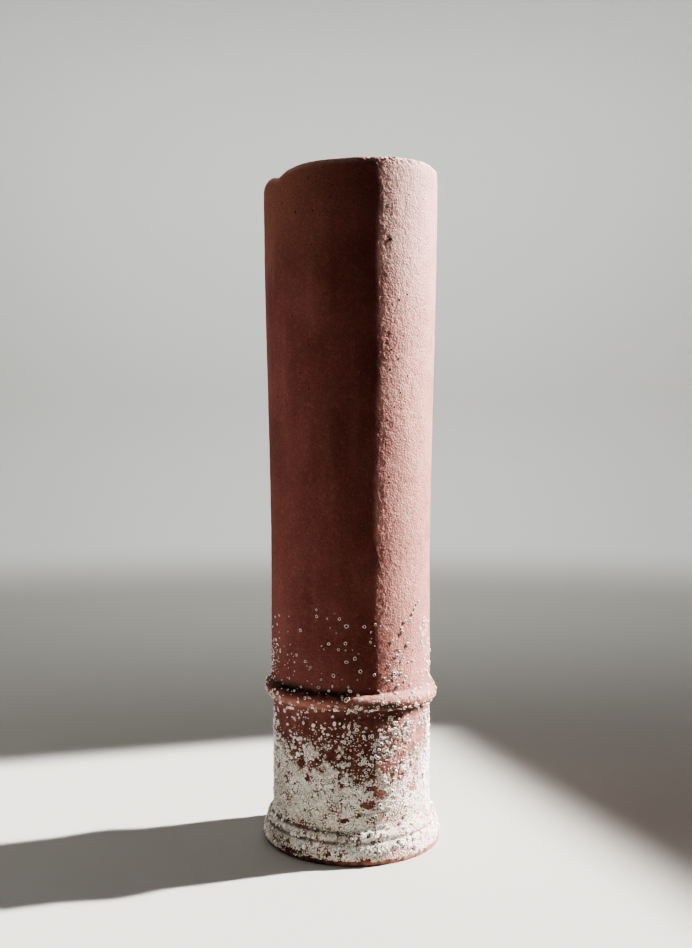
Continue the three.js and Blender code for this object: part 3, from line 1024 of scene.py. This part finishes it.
def shell_places(props, seed):
    """Scattered places for shells on the outside: one to a cell of a jittered grid, kept where a random
    number is under the local density. Returns the points, the directions out from the surface and up along
    it, the heights and the random generator."""
    rng = np.random.default_rng(seed)
    spacing = props.spacing / MM
    around = int(2.0 * math.pi * LOWER_RADIUS / spacing)
    steps = {"roll": 8, "bead": 8, "cove": 6, "lower": 30, "band": 24}
    up = int((props.top / MM + 60.0) / spacing)
    column, row = np.meshgrid(np.arange(around), np.arange(up))
    angle = (column + rng.random(column.shape)).ravel() * 360.0 / around
    along = (row + rng.random(row.shape)).ravel() * spacing
    rows = outside_rows(angle, steps)
    rows.append(straight(rows[-1][1][-1], props.top / MM, 60))
    radius, height = stack(rows, angle)
    step = np.hypot(np.diff(radius, axis=0), np.diff(height, axis=0))
    travelled = np.concatenate([np.zeros((1, angle.size)), np.cumsum(step, axis=0)])
    inside = along < travelled[-1] - 1.0
    angle, along = angle[inside], along[inside]
    radius, height, travelled = radius[:, inside], height[:, inside], travelled[:, inside]
    index = (travelled < along).sum(axis=0).clip(1, len(travelled) - 1)
    pick = np.arange(angle.size)
    share = (along - travelled[index - 1, pick]) / (travelled[index, pick] - travelled[index - 1, pick])
    low = (radius[index - 1, pick], height[index - 1, pick])
    high = (radius[index, pick], height[index, pick])
    r = low[0] * (1 - share) + high[0] * share
    z = low[1] * (1 - share) + high[1] * share
    slope = np.hypot(high[0] - low[0], high[1] - low[1])
    rise = (high[1] - low[1]) / slope
    lean = (high[0] - low[0]) / slope
    away = from_axis(angle)
    upward = away * lean[:, None] + UP * rise[:, None]
    outward_way = away * rise[:, None] - UP * lean[:, None]
    points = place(r, z, angle)
    keep = rng.random(angle.size) < shell_density(angle, z, points)
    return points[keep], outward_way[keep], upward[keep], z[keep], rng


def shell_density(angle, z, points):
    """Chance of a shell at a place: thickest about the crust's upper edge, less so on its left, some on the
    band and a crowd of crumbs at its front right, few above it and fewer with height, more in the clusters
    and at the sides, and all of it patchy."""
    swept = turn_between(angle, 0.0)
    patch = smooth(0.5 + 0.75 * noise(points, 24.0, seed=81, octaves=2))
    edge = np.exp(-((z - CRUST_START + 14.0) / 36.0) ** 2) * (0.6 + 0.4 * smooth((swept + 4.0) / 12.0))
    low = between(z, (9.0, 15.0), (CRUST_START - 60.0, CRUST_START))
    crumbs = smooth(1.3 - np.abs(turn_between(angle, 20.0)) / 32.0) * smooth(1.4 - np.abs(z - 229.0) / 8.0)
    band = 0.26 * np.exp(-((z - BAND_HEIGHT) / 18.0) ** 2) + 0.45 * crumbs
    above = 0.09 * between(z, (240.0, 260.0), (250.0, 400.0))
    cluster = 0.75 * near(angle, z, SHELL_CLUSTERS)
    sides = 0.15 * smooth((np.abs(swept) - 58.0) / 18.0) * smooth((360.0 - z) / 120.0)
    bare = 1.0 - 0.9 * near(angle, z, BARE_PLACES)
    density = (0.85 * edge * (0.2 + 0.8 * patch) + 0.18 * low + band + above * (0.3 + 1.2 * patch)
               + cluster * (0.4 + 0.6 * patch) + sides * patch)
    return density * bare * smooth((z - 8.0) / 6.0)


def shell_piece(name, places, sizes, dark, opening, rings, sides, material, rng):
    """Many shells as one mesh. Each is a closed body turned round its own axis: rings gives the radius,
    in shares of the shell's, the height, in shares of its own, and how dark the hole is there. The last
    ring closes on the middle of the hole and the first on a base under the surface. Opening is 1 for a
    clean hole and 0 for one choked with lime, and dark is 1 for a crumb or grain of iron."""
    points, out, up = places
    count = len(points)
    side = np.cross(up, out)
    spin = rng.random((count, 1)) * 2.0 * np.pi + np.arange(sides) * 2.0 * np.pi / sides
    uneven = 1.0 + 0.2 * (rng.random((count, sides)) - 0.5) * 2.0
    oval = 1.0 + 0.3 * (rng.random((count, 1)) - 0.5) * np.cos(2.0 * spin)
    reach = sizes[:, None] * uneven * oval
    tall = sizes * (0.4 + 0.3 * rng.random(count))
    body = []
    for share, rise, hole in rings:
        flat = (np.cos(spin) * reach * share)[..., None] * side[:, None, :]
        flat = flat + (np.sin(spin) * reach * share)[..., None] * up[:, None, :]
        body.append(points[:, None, :] + flat + (tall * rise)[:, None, None] * out[:, None, :])
    middle = points + out * (tall * rings[-1][1])[:, None]
    body = np.concatenate([np.stack(body, axis=1).reshape(count, -1, 3), middle[:, None, :]], axis=1)
    per_shell = body.shape[1]
    k = np.arange(sides)
    next_k = (k + 1) % sides
    quads = np.concatenate([np.stack([i * sides + k, i * sides + next_k, (i + 1) * sides + next_k,
                                      (i + 1) * sides + k], axis=-1) for i in range(len(rings) - 1)])
    last = (len(rings) - 1) * sides
    fan = np.stack([last + k, last + next_k, np.full(sides, per_shell - 1)], axis=-1)
    base = k[::-1][None, :]
    start = (np.arange(count) * per_shell)[:, None, None]
    faces = [(group[None] + start).reshape(-1, group.shape[1]) for group in (quads, fan, base)]
    darkness = np.concatenate([np.repeat([hole for share, rise, hole in rings], sides), [rings[-1][2]]])
    marks = {"hollow": darkness[None, :] * opening[:, None],
             "grain": np.repeat(dark[:, None], per_shell, axis=1),
             "shade": np.repeat(rng.random((count, 1)) ** 0.7, per_shell, axis=1)}
    shells = make_piece(name, body.reshape(-1, 3), faces, marks, material)
    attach(shells, "root")


def lone_places(table):
    """Places on the plain barrel for a table of angles, heights and radii, with the local directions."""
    angle, z, sizes = np.array(table, float).T
    out = from_axis(angle)
    return (place(barrel_radius(z), z, angle), out, np.broadcast_to(UP, out.shape)), sizes


class CHIMNEYPOT_OT_shells(bpy.types.Operator):
    """Scatter small empty shells about the crust's edge, on the band and above it"""
    bl_idname = "chimney_pot.shells"
    bl_label = "Shells"

    def execute(self, context):
        props = context.scene.pot_shells
        material = shell_finish(props)
        points, out, up, z, rng = shell_places(props, 5)
        smallest, largest = props.smallest / MM, props.largest / MM
        sizes = smallest + (largest - smallest) * rng.random(len(points)) ** 2.2
        angle = angle_of(points)
        # Above the band most are small, but less so on the right
        small_there = (z > SHELLS_ABOVE) * (1.0 - 0.8 * smooth((angle - 15.0) / 10.0))
        sizes = smallest + (1.0 - 0.6 * small_there) * (sizes - smallest)
        # On the band at the front right some are small dark crumbs
        crumbly = smooth(1.0 - np.abs(z - BAND_HEIGHT + 2.0) / 12.0)
        crumbly = crumbly * smooth(1.3 - np.abs(angle - 18.0) / 32.0)
        dark = (rng.random(len(points)) < DARK_CRUMBS * crumbly).astype(float)
        sizes = np.where(dark > 0.0, np.minimum(sizes, 1.3), sizes)
        lone, lone_sizes = lone_places(LONE_SHELLS)
        places = [np.concatenate([some, more]) for some, more in zip((points, out, up), lone)]
        sizes = np.concatenate([sizes, 1.15 * lone_sizes])
        dark = np.concatenate([dark, np.zeros(len(lone_sizes))])
        # Lime chokes the holes under the band on the left, and above it they are clean
        opening = 0.3 + 0.7 * rng.random(len(sizes))
        high, turned = places[0][:, 2], angle_of(places[0])
        choked = smooth((226.0 - high) / 10.0) * smooth((4.0 - turned) / 12.0)
        opening = np.maximum(opening * (1.0 - 0.75 * choked), smooth((high - 245.0) / 20.0))
        big = sizes > 1.7
        wide_rings = ((1.0, -0.9, 0.0), (0.9, 0.5, 0.0), (0.66, 1.0, 0.0), (0.42, 0.15, 1.0))
        plain_rings = ((1.0, -0.9, 0.0), (0.7, 0.9, 0.0), (0.28, 0.55, 0.8))
        for name, chosen, rings, sides in (("shells_ringed", big, wide_rings, 8),
                                           ("shells_small", ~big, plain_rings, 6)):
            some = [values[chosen] for values in places]
            shell_piece(name, some, sizes[chosen], dark[chosen], opening[chosen], rings, sides, material,
                        rng)
        self.add_grains(material, rng)
        return {"FINISHED"}

    def add_grains(self, material, rng):
        """Low dark grains: the listed ones and random ones over the upper barrel, most on the right."""
        on_right = rng.random(GRAIN_COUNT) < 0.45
        angle = np.where(on_right, 20.0 + 110.0 * rng.random(GRAIN_COUNT), 360.0 * rng.random(GRAIN_COUNT))
        height = 270.0 + 735.0 * rng.random(GRAIN_COUNT)
        radius = 0.5 + 0.6 * rng.random(GRAIN_COUNT) ** 2
        table = np.concatenate([np.array(LONE_GRAINS, float), np.stack([angle, height, radius], axis=1)])
        places, sizes = lone_places(table)
        low_rings = ((1.0, -0.8, 1.0), (0.75, 0.3, 1.0), (0.4, 0.15, 1.0))
        full = np.ones(len(sizes))
        shell_piece("dark_grains", places, 1.3 * sizes, full, full, low_rings, 7, material, rng)


def area_light(name, location, target, size, power, colour, beam=180.0):
    """A rectangular soft box, size wide and high, that looks from one point at another, that the camera
    doesn't see, and whose grid keeps its light within a beam of so many degrees."""
    light = bpy.data.lights.new(name, "AREA")
    light.shape = "RECTANGLE"
    light.size, light.size_y = size
    light.energy = power
    light.color = colour
    light.spread = math.radians(beam)
    box = bpy.data.objects.new(name, light)
    box.location = location
    way = np.subtract(target, location)
    tilt = math.acos(-way[2] / np.linalg.norm(way))
    box.rotation_euler = (tilt, 0.0, math.atan2(way[1], way[0]) - math.pi / 2)
    box.visible_camera = False
    bpy.context.scene.collection.objects.link(box)


class CHIMNEYPOT_OT_stage(bpy.types.Operator):
    """Set up the camera, the lights and a pale studio floor that curves up all round"""
    bl_idname = "chimney_pot.stage"
    bl_label = "Stage"

    def execute(self, context):
        props = context.scene.pot_stage
        scene = context.scene
        self.make_camera(scene, props)
        self.make_lights(scene, props)
        self.make_boards(props)
        scene.view_settings.view_transform = "AgX"
        scene.view_settings.look = "AgX - High Contrast"
        scene.view_settings.exposure = 0.5
        return {"FINISHED"}

    def make_camera(self, scene, props):
        """The camera stands in front, a little to the left, and looks straight ahead and slightly down."""
        data = bpy.data.cameras.new("camera")
        data.lens = props.lens
        data.sensor_width = 36.0
        camera = bpy.data.objects.new("camera", data)
        camera.location = (-props.aside, -props.distance, props.height)
        camera.rotation_euler = (math.pi / 2 - props.pitch, 0.0, 0.0)
        scene.collection.objects.link(camera)
        scene.camera = camera

    def make_lights(self, scene, props):
        """A gridded key box from the right and a little behind, a soft box on the left, a wash for the
        wall behind and an even sky over the boards."""
        azimuth, rise = props.key_azimuth, props.key_rise
        towards = np.array([math.sin(azimuth) * math.cos(rise), -math.cos(azimuth) * math.cos(rise),
                            math.sin(rise)])
        middle = np.array([-0.08, -0.05, 0.46])
        distance = 2.7
        area_light("key", middle + distance * towards, middle, (1.15, 1.25), props.key, (1.0, 0.98, 0.965),
                   beam=3.0)
        area_light("soft box", (-2.4, -0.4, 0.9), (0.0, 0.0, 0.6), (1.2, 1.2), props.fill,
                   (1.0, 0.96, 0.93))
        area_light("wall wash", (0.0, 1.0, 3.3), (0.0, 3.5, 0.9), (3.4, 0.8), props.wash,
                   (0.98, 0.99, 1.0), beam=110.0)
        world = bpy.data.worlds.new("sky")
        world.use_nodes = True
        background = world.node_tree.nodes["Background"]
        background.inputs["Color"].default_value = (0.96, 0.98, 1.0, 1.0)
        background.inputs["Strength"].default_value = props.sky
        scene.world = world

    def make_boards(self, props):
        """A round floor, then a quarter circle up into a wall: radius and height along one line, turned
        round the pot."""
        flat, bend, wall = 2700.0, 900.0, 4600.0
        rise = np.radians(np.linspace(-90, 0, 13))
        radius = np.concatenate([[0.01, 900.0, 1800.0], flat + bend * np.cos(rise), [flat + bend]])
        height = np.concatenate([[0.0, 0.0, 0.0], bend + bend * np.sin(rise), [wall]])
        sides = 96
        points = radius[:, None, None] * from_axis(columns(sides)) + height[:, None, None] * UP
        faces = grid_faces(len(radius), sides, close_rows=False)[:, ::-1]
        boards = make_piece("boards", points.reshape(-1, 3), [faces], {}, painted_board(props))


class CHIMNEYPOT_PT_panel(bpy.types.Panel):
    """Settings and steps of the chimney pot"""
    bl_idname = "CHIMNEYPOT_PT_panel"
    bl_label = "Chimney Pot"
    bl_space_type = "VIEW_3D"
    bl_region_type = "UI"
    bl_category = "Chimney Pot"

    def draw(self, context):
        for step, group in zip(STEPS, GROUPS):
            box = self.layout.box()
            box.operator(step.bl_idname)
            settings = getattr(context.scene, group)
            for key in settings.__annotations__:
                box.prop(settings, key)


STEPS = (CHIMNEYPOT_OT_clay, CHIMNEYPOT_OT_crust, CHIMNEYPOT_OT_shells, CHIMNEYPOT_OT_stage)
GROUPS = {"pot_clay": ClayProperties, "pot_crust": CrustProperties, "pot_shells": ShellProperties,
          "pot_stage": StageProperties}
CLASSES = (*GROUPS.values(), *STEPS, CHIMNEYPOT_PT_panel)


def register():
    for item in CLASSES:
        bpy.utils.register_class(item)
    for group, kind in GROUPS.items():
        setattr(bpy.types.Scene, group, PointerProperty(type=kind))


def unregister():
    for group in GROUPS:
        delattr(bpy.types.Scene, group)
    for item in reversed(CLASSES):
        bpy.utils.unregister_class(item)


def main():
    register()
    for step in STEPS:
        group, name = step.bl_idname.split(".")
        getattr(getattr(bpy.ops, group), name)()


if __name__ == "__main__":
    main()
